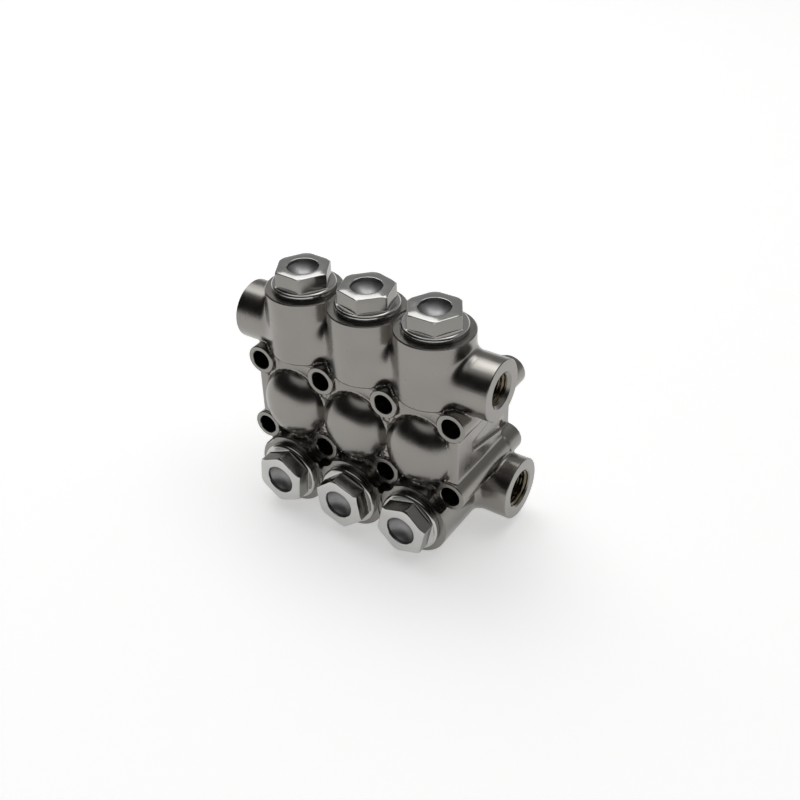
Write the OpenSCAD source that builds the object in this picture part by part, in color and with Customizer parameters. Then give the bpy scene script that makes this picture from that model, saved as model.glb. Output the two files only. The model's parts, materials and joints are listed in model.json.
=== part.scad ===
// Manifold head (valve block) of a three-plunger high-pressure pump.
// X runs across the cylinders, +Y points into the crankcase, +Z is up.
// The origin is on the crankcase face, at the centre of its bolt grid,
// on the axis of the middle plunger.

/* [Cylinders and bolts] */
// Distance between neighbouring cylinder axes
pitch = 40; // [39:0.5:44]
// Vertical distance between the two rows of bolt holes
bolt_rise = 43.6; // [43:0.2:46]
// Diameter of the clearance holes for the head bolts
bolt_hole_d = 11; // [9:0.5:12]
// Outer diameter of the bolt bosses
bolt_boss_d = 16.4; // [15:0.2:18]
// Distance from the crankcase face to the front of the bolt bosses
boss_reach = 62; // [59:0.5:64]

/* [Discharge towers] */
// Outer diameter of a discharge tower
tower_d = 42; // [41.5:0.5:44]
// Height of the tower tops above the plunger axes
tower_height = 65; // [65:0.5:72]
// Distance from the crankcase face to the tower axes
tower_back = 44; // [42:0.5:47]

/* [Suction barrels] */
// Outer diameter of a suction barrel
barrel_d = 42; // [41.5:0.5:44]
// Depth of the barrel axes below the plunger axes
barrel_drop = 42; // [41:0.5:46]
// Distance from the crankcase face to the front of the barrels
barrel_reach = 67.3; // [66:0.1:72]
// Distance from the crankcase face to the rear end of the barrels' full width
barrel_back = 30; // [28:0.5:32]
// Diameter of the barrels' tapered rear end, on the inlet gallery's axis
barrel_tail_d = 29; // [24:0.5:33]

/* [Outlet gallery] */
// Outer diameter of the outlet gallery
outlet_boss_d = 32.8; // [30:0.2:35]
// Height of the outlet gallery axis above the plunger axes
outlet_height = 39.9; // [39:0.1:41]
// Distance from the crankcase face to the outlet gallery axis
outlet_back = 42.7; // [42:0.1:45]
// Distance between the two outlet port faces
outlet_span = 155; // [150:1:165]
// Diameter of the outlet gallery's bore between the ports
outlet_bore_d = 12; // [9:0.5:13]
// Minor thread diameter of the outlet ports
outlet_port_d = 14.95; // [14:0.05:17]
// Diameter of the countersink at the outlet port mouths
outlet_mouth_d = 19.9; // [18:0.1:22]
// Depth of the outlet port threads
outlet_port_depth = 14; // [10:0.5:15]

/* [Inlet gallery] */
// Outer diameter of the inlet gallery
inlet_boss_d = 35; // [33:0.5:35]
// Depth of the inlet gallery axis below the plunger axes
inlet_drop = 39.8; // [39:0.1:42]
// Distance from the crankcase face to the inlet gallery axis
inlet_back = 17.7; // [17.6:0.1:20]
// Distance between the two inlet port faces
inlet_span = 156.4; // [150:0.4:165]
// Diameter of the inlet gallery's bore between the ports
inlet_bore_d = 17; // [13:0.5:17.5]
// Minor thread diameter of the inlet ports
inlet_port_d = 18.63; // [18:0.01:21]
// Diameter of the countersink at the inlet port mouths
inlet_mouth_d = 22.4; // [21.5:0.1:25]
// Depth of the inlet port threads
inlet_port_depth = 16; // [10:0.5:17]
// Angle of every port mouth's countersink, measured from the port axis
mouth_angle = 45; // [30:5:60]

/* [Chamber block] */
// Outer radius of a chamber dome
dome_r = 20.9; // [20.5:0.1:22]
// Radius of the rounding round a dome's front
dome_round = 17; // [14:0.5:18]
// Distance from the crankcase face to the front of the domes
dome_reach = 70.3; // [68:0.1:71]
// How far a dome is drawn down towards its suction barrel
dome_drop = 2; // [1:0.5:4]
// Half the height of the block behind the domes
block_rise = 27.5; // [26.5:0.5:28]
// Distance from the crankcase face to the front of the block
block_reach = 59; // [57:0.5:60]
// Half the width of the block, between the outer bolt bosses
block_half_width = 58.5; // [56:0.5:62]
// Half the height of the crankcase flange
flange_rise = 29; // [28.5:0.5:31]
// Thickness of the crankcase flange
flange_thickness = 12; // [8:0.5:14]
// Thickness of the upright ribs between the outer bosses
rib_thickness = 5; // [3:0.5:6]
// How far the ribs stay behind the front of the bolt bosses
rib_setback = 1.6; // [1:0.2:2.4]
// Depth of the hollow in each side of the block
side_hollow_depth = 1.5; // [0.5:0.25:2]
// Height of that hollow at its rear end
side_hollow_height = 17; // [12:0.5:20]
// Height of that hollow at its front end
side_hollow_nose = 5; // [3:0.5:8]
// Distance from the crankcase face to the front end of that hollow
side_hollow_reach = 43; // [35:1:48]

/* [Chamber bores] */
// Diameter of the chamber that the plunger works in
chamber_d = 22; // [21.5:0.5:25]
// Distance from the crankcase face to the blind end of the chamber
chamber_depth = 53; // [52:0.5:55]
// Diameter of the bore that holds the packing
packing_d = 30; // [28:0.5:32]
// Diameter of the plunger that the packing seals on
plunger_d = 20; // [18:0.5:20.5]
// Running clearance between the plunger and the packing, on the radius
plunger_gap = 0.05; // [0.02:0.01:0.1]
// Length of the main packing
main_packing_length = 9; // [7:0.5:10]
// Length of the packing carrier ring
carrier_length = 13; // [10:0.5:15]
// Length of the rear seal
rear_seal_length = 5; // [4:0.5:6]
// How far the rear seal sits inside the crankcase face
rear_seal_inset = 1; // [0.5:0.25:2]
// Diameter of the drilled passages between the chamber and the valves
passage_d = 13; // [11:0.5:14]
// Width of the small bevels on machined edges
bevel = 0.6; // [0.3:0.1:0.8]

/* [Valves] */
// Diameter of the bore that a valve sits in
valve_bore_d = 25; // [24:0.5:26]
// Clearance between that bore and the pieces in it, on the radius
valve_gap = 0.1; // [0.05:0.01:0.15]
// Height of a valve seat
seat_height = 6; // [5.5:0.25:7]
// Diameter of the hole through a valve seat
seat_hole_d = 15; // [13.5:0.5:16]
// Height of a valve cage
cage_height = 13; // [13:0.5:15]
// Thickness of a cage's top plate
cage_plate = 3; // [2.5:0.25:3.5]
// Width of a cage's four pillars
pillar_width = 4; // [3:0.5:5]
// Diameter of a valve poppet
poppet_d = 18; // [17.5:0.25:18.5]
// Thickness of a poppet's disc
poppet_thickness = 2.5; // [2:0.25:3]
// Height of the spring locator on a poppet's back
locator_height = 1.5; // [1:0.25:2]
// Diameter of the spring locator and of the stop that faces it
locator_d = 5.6; // [5:0.2:6.2]
// Height of the guide plug under a poppet
plug_height = 1.5; // [1:0.25:2]
// Gap between the guide plug and the seat's hole, on the radius
plug_gap = 1.5; // [1:0.25:2]
// Running clearance between a poppet and its cage's pillars, on the radius
poppet_gap = 0.08; // [0.04:0.01:0.1]
// Distance that a poppet lifts off its seat
valve_lift = 3; // [2:0.25:3.25]
// Gap left between a fully lifted poppet and its stop
stop_gap = 0.3; // [0.2:0.05:0.5]
// Wire diameter of a valve spring
spring_wire_d = 1; // [0.8:0.1:1.2]
// Mean diameter of a valve spring's coil
spring_coil_d = 9.2; // [8.8:0.2:10]
// Number of turns in a valve spring
spring_turns = 4; // [3:0.5:4.5]

// Closed turns at each end of a valve spring
closed_turns = 0.75; // [0.5:0.25:1]

/* [Valve caps] */
// Width across the flats of a cap's hexagon
cap_hex = 27; // [26:0.5:28]
// Height of a cap's hexagon above its flange
cap_hex_height = 8.3; // [7:0.1:9]
// Diameter of a cap's flange
cap_flange_d = 34.4; // [33:0.2:36]
// Thickness of a cap's flange
cap_flange_height = 3.5; // [3:0.1:4.5]
// Diameter of the recess in a cap's top, at its rim
cap_recess_d = 17.2; // [15:0.1:18]
// Depth of the recess in a cap's top
cap_recess_depth = 7; // [5:0.25:8]
// Thread diameter of a cap
cap_thread_d = 28; // [27.5:0.25:29]
// Length of a cap's thread
cap_thread_length = 12; // [11:0.5:13]
// Clearance between a cap's thread and its hole, on the radius
thread_gap = 0.08; // [0.04:0.01:0.1]
// Length of the sealing nose below a cap's thread
cap_nose_length = 6; // [5:0.5:7]
// Section diameter of the O-rings on the caps and seats
oring_section_d = 1.8; // [1.4:0.1:2]
// Free space left around an O-ring in its groove
oring_gap = 0.02; // [0.01:0.01:0.05]
// Free length left on each side of an O-ring in its groove
groove_play = 0.2; // [0.1:0.05:0.3]

/* [Hidden] */
// Cylinder numbers, from left to right as seen from the front
CYLINDERS = [1, 2, 3];
PIECES = ["cap", "cap_oring", "seat", "seat_oring", "cage", "poppet", "spring"];
PACKING_PIECES = ["main_packing", "packing_carrier", "rear_seal"];
$fn = 64;

// Colours
nickel = [0.62, 0.60, 0.57];
cap_nickel = [0.72, 0.71, 0.69];
brass = [0.78, 0.62, 0.33];
stainless = [0.70, 0.70, 0.70];
seal_black = [0.08, 0.08, 0.08];
cage_white = [0.85, 0.84, 0.80];

// Direction of a hexagon's first corner, for each cap from left to right
DISCHARGE_HEX_TURNS = [-62, -75, -59];
SUCTION_HEX_TURNS = [25, 40, 17];

// Slope of the chamfer on a hexagon's corners
CHAMFER_SLOPE = 30;

// Length that a cutting shape runs past the surface it cuts
overrun = 1;

// Half-widths and radii
bolt_hole_r = bolt_hole_d / 2;
bolt_boss_r = bolt_boss_d / 2;
tower_r = tower_d / 2;
barrel_r = barrel_d / 2;
valve_bore_r = valve_bore_d / 2;
valve_piece_r = valve_bore_r - valve_gap;
cap_thread_r = cap_thread_d / 2;
outer_bolt_x = 1.5 * pitch;
neck_half_width = pitch + barrel_r / 2;

// Depth of a valve's seat shoulder below the face that its cap sits on
valve_depth = cap_thread_length + cap_nose_length + cage_height + seat_height;

// O-ring grooves
oring_r = oring_section_d / 2;
groove_r = valve_bore_r - oring_section_d - 2 * oring_gap;
groove_width = oring_section_d + 2 * groove_play;
oring_centre_r = valve_bore_r - oring_gap - oring_r;

// Packing
seal_bore_r = plunger_d / 2 + plunger_gap;
packing_depth = main_packing_length + carrier_length + rear_seal_length + rear_seal_inset;

function cylinder_x(n) = (n - 2) * pitch;
function bolt_x(column) = (column - 1.5) * pitch;

// ---- shared shapes ----

// A cylinder along +Y, from its first to its second distance behind y = 0
module rod_y(r, from, to) {
    translate([0, from, 0])
        rotate([-90, 0, 0])
            cylinder(r = r, h = to - from);
}

// A cylinder along X, centred on x = 0
module rod_x(r, length) {
    rotate([0, 90, 0])
        cylinder(r = r, h = length, center = true);
}

// A block between two opposite corners
module block_between(low, high) {
    translate(low)
        cube(high - low);
}

// A hole down the -Z axis with a bevelled mouth at z = 0
module bevelled_hole(r, depth, bevel_width) {
    translate([0, 0, -depth])
        cylinder(r = r, h = depth + overrun);
    translate([0, 0, -bevel_width])
        cylinder(r1 = r, r2 = r + bevel_width + overrun, h = bevel_width + overrun);
}

// Places its children on a discharge valve's axis, z = 0 on the tower top
module at_tower_top(n) {
    translate([cylinder_x(n), -tower_back, tower_height])
        children();
}

// Places its children on a suction valve's axis, z = 0 on the barrel front
module at_barrel_front(n) {
    translate([cylinder_x(n), -barrel_reach, -barrel_drop])
        rotate([90, 0, 0])
            children();
}

// ---- manifold body ----

// One rounded bulge over a plunger chamber
module chamber_dome() {
    rotate([90, 0, 0])
        rotate_extrude()
            intersection() {
                union() {
                    square([dome_r, dome_reach - dome_round]);
                    square([dome_r - dome_round, dome_reach]);
                    translate([dome_r - dome_round, dome_reach - dome_round])
                        circle(r = dome_round, $fn = 96);
                }
                translate([0, flange_thickness])
                    square([dome_r, dome_reach]);
            }
}

// Towers, barrels and domes of one cylinder
module cylinder_casting(n) {
    translate([cylinder_x(n), -tower_back, block_rise - overrun])
        cylinder(r = tower_r, h = tower_height - block_rise + overrun);
    translate([cylinder_x(n), 0, -barrel_drop]) {
        rod_y(barrel_r, -barrel_reach, -barrel_back);
        translate([0, -barrel_back, 0])
            rotate([-90, 0, 0])
                cylinder(r1 = barrel_r, r2 = barrel_tail_d / 2, h = barrel_back - inlet_back);
    }
    for (drop = [0, dome_drop])
        translate([cylinder_x(n), 0, -drop])
            chamber_dome();
}

// The eight columns that the head bolts pass through
module bolt_bosses() {
    for (column = [0:3], side = [-1, 1])
        translate([bolt_x(column), 0, side * bolt_rise / 2])
            rod_y(bolt_boss_r, -boss_reach, 0);
}

// Upright ribs between the outer bosses
module end_ribs() {
    for (side = [-1, 1])
        translate([side * outer_bolt_x, 0, 0])
            block_between(
                [-rib_thickness / 2, -boss_reach + rib_setback, -bolt_rise / 2],
                [rib_thickness / 2, -flange_thickness, bolt_rise / 2]
            );
}

// Shallow hollows in the block's sides, opening out towards the crankcase flange
module side_hollows() {
    for (side = [-1, 1])
        mirror([side < 0 ? 1 : 0, 0, 0])
            translate([outer_bolt_x + rib_thickness / 2 - side_hollow_depth, 0, 0])
                rotate([90, 0, 90])
                    linear_extrude(height = bolt_boss_r)
                        polygon([
                            [-side_hollow_reach, -side_hollow_nose / 2],
                            [-flange_thickness, -side_hollow_height / 2],
                            [-flange_thickness, side_hollow_height / 2],
                            [-side_hollow_reach, side_hollow_nose / 2]
                        ]);
}

// The block behind the domes, the neck under it and the crankcase flange
module centre_block() {
    block_between(
        [-block_half_width, -block_reach, -block_rise],
        [block_half_width, 0, block_rise]
    );
    block_between(
        [-outer_bolt_x, -flange_thickness, -flange_rise],
        [outer_bolt_x, 0, flange_rise]
    );
    block_between(
        [-neck_half_width, -block_reach, -barrel_drop],
        [neck_half_width, -inlet_back, 0]
    );
}

module galleries() {
    translate([0, -outlet_back, outlet_height])
        rod_x(outlet_boss_d / 2, outlet_span);
    translate([0, -inlet_back, -inlet_drop])
        rod_x(inlet_boss_d / 2, inlet_span);
}

// Stepped hole for a valve and its cap, down from the face at z = 0
module valve_hole() {
    bevelled_hole(cap_thread_r, cap_thread_length, bevel);
    translate([0, 0, -valve_depth])
        cylinder(r = valve_bore_r, h = valve_depth);
}

// Bore of one gallery, with a threaded port at each end
module gallery_bore(bore_d, port_d, port_depth, mouth_d, span) {
    mouth_depth = (mouth_d - port_d) / 2 / tan(mouth_angle);
    rod_x(bore_d / 2, span);
    for (side = [-1, 1])
        translate([side * span / 2, 0, 0])
            rotate([0, side * 90, 0]) {
                translate([0, 0, -port_depth])
                    cylinder(r = port_d / 2, h = port_depth + overrun);
                translate([0, 0, -mouth_depth])
                    cylinder(
                        r1 = port_d / 2,
                        r2 = mouth_d / 2 + overrun * tan(mouth_angle),
                        h = mouth_depth + overrun
                    );
            }
}

// All the bores of one cylinder
module cylinder_bores(n) {
    at_tower_top(n)
        valve_hole();
    at_barrel_front(n)
        valve_hole();
    translate([cylinder_x(n), -tower_back, -barrel_drop])
        cylinder(r = passage_d / 2, h = barrel_drop + tower_height - valve_depth + overrun);
    translate([cylinder_x(n), 0, -barrel_drop])
        rod_y(passage_d / 2, -barrel_reach + valve_depth - overrun, -inlet_back);
    translate([cylinder_x(n), 0, 0]) {
        rod_y(chamber_d / 2, -chamber_depth, 0);
        rotate([-90, 0, 0])
            bevelled_hole(packing_d / 2, packing_depth, bevel);
    }
}

module manifold_body() {
    color(nickel)
        difference() {
            union() {
                centre_block();
                galleries();
                bolt_bosses();
                end_ribs();
                for (n = CYLINDERS)
                    cylinder_casting(n);
            }
            side_hollows();
            for (n = CYLINDERS)
                cylinder_bores(n);
            for (column = [0:3], side = [-1, 1])
                translate([bolt_x(column), 0, side * bolt_rise / 2])
                    rod_y(bolt_hole_r, -boss_reach - overrun, overrun);
            translate([0, -outlet_back, outlet_height])
                gallery_bore(
                    outlet_bore_d, outlet_port_d, outlet_port_depth, outlet_mouth_d, outlet_span
                );
            translate([0, -inlet_back, -inlet_drop])
                gallery_bore(
                    inlet_bore_d, inlet_port_d, inlet_port_depth, inlet_mouth_d, inlet_span
                );
        }
}

// ---- valve pieces, drawn with z = 0 on the face that the cap sits on ----

// Ring groove around a turned piece, centred on z = 0
module oring_groove() {
    rotate_extrude()
        translate([groove_r, -groove_width / 2])
            square([valve_bore_r - groove_r + overrun, groove_width]);
}

// Hexagon with bevelled corners, its first corner turned to the given angle
module cap_hexagon(turn) {
    corner_r = cap_hex / 2 / cos(30);
    corner_bevel = corner_r - cap_hex / 2 + bevel;
    intersection() {
        rotate([0, 0, turn])
            cylinder(r = corner_r, h = cap_hex_height, $fn = 6);
        rotate_extrude()
            polygon([
                [0, -overrun],
                [corner_r + overrun, -overrun],
                [corner_r + overrun, cap_hex_height - (corner_bevel + overrun) * tan(CHAMFER_SLOPE)],
                [corner_r - corner_bevel, cap_hex_height],
                [0, cap_hex_height]
            ]);
    }
}

// Round blind recess with a dished floor, down from z = 0
module cap_recess() {
    wall_r = cap_recess_d / 2 - bevel;
    dish_depth = cap_recess_depth / 2;
    dish_r = (wall_r * wall_r + dish_depth * dish_depth) / (2 * dish_depth);
    bevelled_hole(wall_r, cap_recess_depth - dish_depth, bevel);
    intersection() {
        translate([0, 0, dish_r - cap_recess_depth])
            sphere(r = dish_r);
        translate([0, 0, -cap_recess_depth])
            cylinder(r = wall_r, h = cap_recess_depth);
    }
}

module valve_cap(turn) {
    thread_r = cap_thread_r - thread_gap;
    flange_r = cap_flange_d / 2;
    top = cap_flange_height + cap_hex_height;
    color(cap_nickel)
        difference() {
            union() {
                rotate_extrude()
                    polygon([
                        [0, -cap_thread_length - cap_nose_length],
                        [valve_piece_r - bevel, -cap_thread_length - cap_nose_length],
                        [valve_piece_r, -cap_thread_length - cap_nose_length + bevel],
                        [valve_piece_r, -cap_thread_length],
                        [thread_r, -cap_thread_length],
                        [thread_r, 0],
                        [flange_r, 0],
                        [flange_r, cap_flange_height - bevel],
                        [flange_r - bevel, cap_flange_height],
                        [0, cap_flange_height]
                    ]);
                translate([0, 0, cap_flange_height])
                    cap_hexagon(turn);
            }
            translate([0, 0, top])
                cap_recess();
            translate([0, 0, -cap_thread_length - cap_nose_length / 2])
                oring_groove();
        }
}

// An O-ring centred on z = 0
module oring() {
    color(seal_black)
        rotate_extrude()
            translate([oring_centre_r, 0])
                circle(r = oring_r, $fn = 32);
}

module cap_oring() {
    translate([0, 0, -cap_thread_length - cap_nose_length / 2])
        oring();
}

module valve_seat() {
    hole_r = seat_hole_d / 2;
    color(stainless)
        translate([0, 0, -valve_depth])
            difference() {
                cylinder(r = valve_piece_r, h = seat_height);
                translate([0, 0, -overrun])
                    cylinder(r = hole_r, h = seat_height + 2 * overrun);
                translate([0, 0, seat_height / 2])
                    oring_groove();
            }
}

module seat_oring() {
    translate([0, 0, -valve_depth + seat_height / 2])
        oring();
}

module valve_cage() {
    pillar_inner_r = poppet_d / 2 + poppet_gap;
    ring_inner_r = (pillar_inner_r + valve_piece_r) / 2;
    stop_height = cage_height - cage_plate - poppet_thickness - locator_height - valve_lift - stop_gap;
    color(cage_white)
        translate([0, 0, -valve_depth + seat_height]) {
            difference() {
                cylinder(r = valve_piece_r, h = poppet_thickness / 2);
                translate([0, 0, -overrun])
                    cylinder(r = ring_inner_r, h = poppet_thickness + overrun);
            }
            intersection() {
                difference() {
                    cylinder(r = valve_piece_r, h = cage_height - cage_plate + bevel);
                    translate([0, 0, -overrun])
                        cylinder(r = pillar_inner_r, h = cage_height + overrun);
                }
                for (turn = [0, 90])
                    rotate([0, 0, turn])
                        translate([-valve_bore_r, -pillar_width / 2, 0])
                            cube([valve_bore_d, pillar_width, cage_height]);
            }
            translate([0, 0, cage_height - cage_plate])
                cylinder(r = valve_piece_r, h = cage_plate);
            translate([0, 0, cage_height - cage_plate - stop_height])
                cylinder(r = locator_d / 2, h = stop_height + bevel);
        }
}

module valve_poppet() {
    plug_r = seat_hole_d / 2 - plug_gap;
    color(stainless)
        translate([0, 0, -valve_depth + seat_height]) {
            cylinder(r = poppet_d / 2, h = poppet_thickness);
            translate([0, 0, poppet_thickness - bevel])
                cylinder(r = locator_d / 2, h = locator_height + bevel);
            translate([0, 0, -plug_height])
                cylinder(r1 = plug_r - plug_height, r2 = plug_r, h = plug_height);
        }
}

// Coil spring from the poppet's back to the cage's plate, with closed ends
module valve_spring() {
    sides = 6;
    steps_per_turn = 14;
    wire_r = spring_wire_d / 2;
    coil_r = spring_coil_d / 2;
    rise = cage_height - cage_plate - poppet_thickness - spring_wire_d;
    steps = spring_turns * steps_per_turn;
    free_turns = spring_turns - 2 * closed_turns;
    function climb(t) = max(0, min(1, (t * spring_turns - closed_turns) / free_turns));
    points = [
        for (step = [0:steps], side = [0:sides - 1])
            let (
                turn = 360 * step / steps_per_turn,
                r = coil_r + wire_r * cos(360 * side / sides),
                z = wire_r + rise * climb(step / steps) + wire_r * sin(360 * side / sides)
            )
            [r * cos(turn), r * sin(turn), z]
    ];
    walls = [
        for (step = [0:steps - 1], side = [0:sides - 1])
            let (
                a = step * sides + side,
                b = step * sides + (side + 1) % sides
            )
            [a, b, b + sides, a + sides]
    ];
    ends = [
        [for (side = [sides - 1:-1:0]) side],
        [for (side = [0:sides - 1]) steps * sides + side]
    ];
    color(stainless)
        translate([0, 0, -valve_depth + seat_height + poppet_thickness])
            polyhedron(points = points, faces = concat(walls, ends));
}

// One valve piece by name
module valve_piece(piece, turn) {
    if (piece == "cap") valve_cap(turn);
    if (piece == "cap_oring") cap_oring();
    if (piece == "seat") valve_seat();
    if (piece == "seat_oring") seat_oring();
    if (piece == "cage") valve_cage();
    if (piece == "poppet") valve_poppet();
    if (piece == "spring") valve_spring();
}

// ---- packing, drawn along +Y with y = 0 on the crankcase face ----

// A ring around the plunger, between two distances inside the crankcase face
module packing_ring(from, to, edge) {
    ring_r = packing_d / 2 - valve_gap;
    rotate([90, 0, 0])
        rotate_extrude()
            polygon([
                [seal_bore_r, from],
                [ring_r - edge, from],
                [ring_r, from + edge],
                [ring_r, to - edge],
                [ring_r - edge, to],
                [seal_bore_r, to]
            ]);
}

module main_packing() {
    color(seal_black)
        packing_ring(packing_depth - main_packing_length, packing_depth, bevel);
}

module packing_carrier() {
    from = rear_seal_inset + rear_seal_length;
    color(brass)
        packing_ring(from, from + carrier_length, bevel);
}

module rear_seal() {
    color(seal_black)
        packing_ring(rear_seal_inset, rear_seal_inset + rear_seal_length, bevel);
}

module packing_piece(piece) {
    if (piece == "main_packing") main_packing();
    if (piece == "packing_carrier") packing_carrier();
    if (piece == "rear_seal") rear_seal();
}

// ---- the whole head ----

manifold_body();
for (piece = PIECES, n = CYLINDERS) {
    at_tower_top(n) valve_piece(piece, DISCHARGE_HEX_TURNS[n - 1]);
    at_barrel_front(n) valve_piece(piece, SUCTION_HEX_TURNS[n - 1]);
}
for (piece = PACKING_PIECES, n = CYLINDERS) {
    translate([cylinder_x(n), 0, 0]) packing_piece(piece);
}
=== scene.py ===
"""Looks of the manifold head: a forged and nickel-plated valve block with its hex caps.

The forging is a smooth union of simple distance fields, turned into a mesh and then
machined with exact cutters, as the real one is.  Lengths in the modelling functions
are millimetres in the row frame; objects are made in metres.
"""
import json
import math

import bpy
import numpy as np
from mathutils import Euler, Matrix, Vector


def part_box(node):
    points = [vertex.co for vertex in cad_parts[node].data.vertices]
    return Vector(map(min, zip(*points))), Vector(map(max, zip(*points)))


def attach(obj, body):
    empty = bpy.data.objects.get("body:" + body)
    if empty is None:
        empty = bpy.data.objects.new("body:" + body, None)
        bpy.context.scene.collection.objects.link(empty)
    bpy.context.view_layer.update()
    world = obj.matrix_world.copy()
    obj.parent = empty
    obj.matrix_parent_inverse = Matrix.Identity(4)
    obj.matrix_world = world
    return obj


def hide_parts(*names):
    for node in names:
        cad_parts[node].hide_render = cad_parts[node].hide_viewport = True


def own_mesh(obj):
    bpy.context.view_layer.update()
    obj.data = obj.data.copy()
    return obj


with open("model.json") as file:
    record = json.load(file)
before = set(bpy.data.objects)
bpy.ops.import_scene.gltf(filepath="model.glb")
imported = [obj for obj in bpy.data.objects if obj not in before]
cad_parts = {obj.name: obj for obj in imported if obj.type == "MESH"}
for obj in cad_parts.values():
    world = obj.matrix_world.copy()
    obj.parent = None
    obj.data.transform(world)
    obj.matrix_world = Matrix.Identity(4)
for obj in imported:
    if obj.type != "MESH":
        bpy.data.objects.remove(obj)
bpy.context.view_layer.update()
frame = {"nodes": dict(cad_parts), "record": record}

MM = 0.001
SIDES = (-1, 1)
NUMBERS = (1, 2, 3)


# ---------------------------------------------------------------- driving sizes, mm

def box_mm(node):
    low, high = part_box(node)
    return np.array(low) / MM, np.array(high) / MM


def middle_mm(node):
    low, high = box_mm(node)
    return (low + high) / 2


MOUNTS = {mount["name"]: mount for mount in frame["record"]["mounts"]}
BODY_LOW, BODY_HIGH = box_mm("manifold_body")
CYLINDER_X = [middle_mm(f"discharge_cap_{n}")[0] for n in NUMBERS]
PITCH = CYLINDER_X[1] - CYLINDER_X[0]

# Bolt columns
BOLT_X = [(column - 1.5) * PITCH for column in range(4)]
BOLT_Z = MOUNTS["outer_bolts"]["dims"]["spacing_y_mm"] / 2
BOLT_HOLE_R = MOUNTS["outer_bolts"]["dims"]["hole_r_mm"]
COLUMN_R = 8.2
COLUMN_FRONT = -62.0
EAR_STEP = 0.5

# Towers and barrels
TOWER_Y = middle_mm("discharge_cap_2")[1]
TOWER_R = 21.0
TOWER_TOP = BODY_HIGH[2]
BARREL_Z = middle_mm("suction_cap_2")[2]
BARREL_R = 21.0
BARREL_BACK = -30.0
BARREL_TAIL_R = 14.5

# Galleries and their ports
OUTLET_Y, OUTLET_Z = (MOUNTS["outlet_port_right"]["pos_m"][axis] / MM for axis in (1, 2))
OUTLET_R = 16.4
OUTLET_FACE = 77.5
OUTLET_BORE_R = 6.0
INLET_Y, INLET_Z = (MOUNTS["inlet_port_right"]["pos_m"][axis] / MM for axis in (1, 2))
INLET_R = 17.5
INLET_FACE = BODY_HIGH[0]
INLET_BORE_R = 8.5
THREAD_PITCH = 1.814
OUTLET_THREAD = {"minor": 7.475, "major": 8.33, "mouth": 9.95, "depth": 14.0}
INLET_THREAD = {"minor": 9.315, "major": 10.48, "mouth": 11.2, "depth": 16.0}

# Block, domes and ribs
BLOCK_X = 58.5
BLOCK_Z = 27.5
BLOCK_FRONT = -59.0
FLANGE_X = BOLT_X[3]
FLANGE_Z = 29.0
FLANGE_FRONT = -12.0
DOME_R = 20.9
DOME_ROUND = 17.0
DOME_FRONT = -70.3
DOME_DROP = 2.0
RIB_WIDTH = 5.0
RIB_FRONT = -60.4
INNER_RIB_HALF = 1.8
INNER_RIB_START = 10
HOLLOW_DEPTH = 1.5
HOLLOW_FRONT = -43.0
HOLLOW_NOSE = 2.5
HOLLOW_HALF = 8.5

# Chambers and valve holes
VALVE_BORE_R = 12.5
CAP_THREAD_R = 14.0
CAP_THREAD_LENGTH = 12.0
VALVE_DEPTH = 37.0
PASSAGE_R = 6.5
CHAMBER_R = 11.0
CHAMBER_DEPTH = 53.0
PACKING_R = 15.0
PACKING_DEPTH = 28.0
PACKING_CHAMFER = 0.8
VALVE_CHAMFER = 0.6

# Caps
CAP_HEX = 27.0
CAP_HEX_HEIGHT = 8.3
CAP_FLANGE_R = 17.2
CAP_FLANGE_HEIGHT = 3.5
CAP_RECESS_R = 8.6
CAP_RECESS_DEPTH = 6.5
CAP_RECESS_WALL = 2.0
CAP_CORNER_CUT = 1.0
BARREL_FRONT = box_mm("suction_cap_2")[0][1] + CAP_FLANGE_HEIGHT + CAP_HEX_HEIGHT

# Springs
SPRING_WIRE_R = 0.5
SPRING_COIL_R = 4.6
SPRING_TURNS = 4
SPRING_CLOSED = 0.5
SPRING_LENGTH = 7.5
SPRING_END = 21.0
SPRING_PLAY = 0.03

HEX_TURNS = {"discharge": (-62, -75, -59), "suction": (25, 40, 17)}

# The forging's grid, and the metal left on every face for machining
VOXEL = 0.7
GRID_MARGIN = 4.0
STOCK = 2.0


# ---------------------------------------------------------------- mesh helpers

def mesh_object(name, vertices, faces, smooth=True):
    """A mesh object from millimetre vertices, with outward normals."""
    mesh = bpy.data.meshes.new(name)
    vertices = np.asarray(vertices, float) * MM
    mesh.from_pydata([tuple(v) for v in vertices], [], [tuple(int(i) for i in f) for f in faces])
    mesh.validate()
    mesh.polygons.foreach_set("use_smooth", [smooth] * len(mesh.polygons))
    obj = bpy.data.objects.new(name, mesh)
    bpy.context.scene.collection.objects.link(obj)
    return obj


def stack_faces(rings, count, closed_ends=True):
    """Quads between rings of the same number of points, with a fan at each pole."""
    faces = []
    for ring in range(rings - 1):
        for k in range(count):
            a, b = ring * count + k, ring * count + (k + 1) % count
            faces.append((a, b, b + count, a + count))
    if closed_ends:
        first, last = rings * count, rings * count + 1
        top = (rings - 1) * count
        for k in range(count):
            faces.append((first, (k + 1) % count, k))
            faces.append((last, top + k, top + (k + 1) % count))
    return faces


def lathe_points(profile, count):
    """Rings of a turned solid about +Z: profile runs from the lower pole to the upper one."""
    turns = np.arange(count) * 2 * np.pi / count
    rings = [np.column_stack([r * np.cos(turns), r * np.sin(turns), np.full(count, z)])
             for r, z in profile]
    poles = [[0, 0, profile[0][1]], [0, 0, profile[-1][1]]]
    return np.vstack(rings + [poles])


def lathe(name, profile, axis_turn, place, count=96):
    """A closed solid turned about an axis that axis_turn makes from +Z, moved to place."""
    points = lathe_points(profile, count)
    faces = stack_faces(len(profile), count)
    turned = points @ np.array(axis_turn.to_matrix()).T + np.array(place)
    return mesh_object(name, turned, faces)


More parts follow.
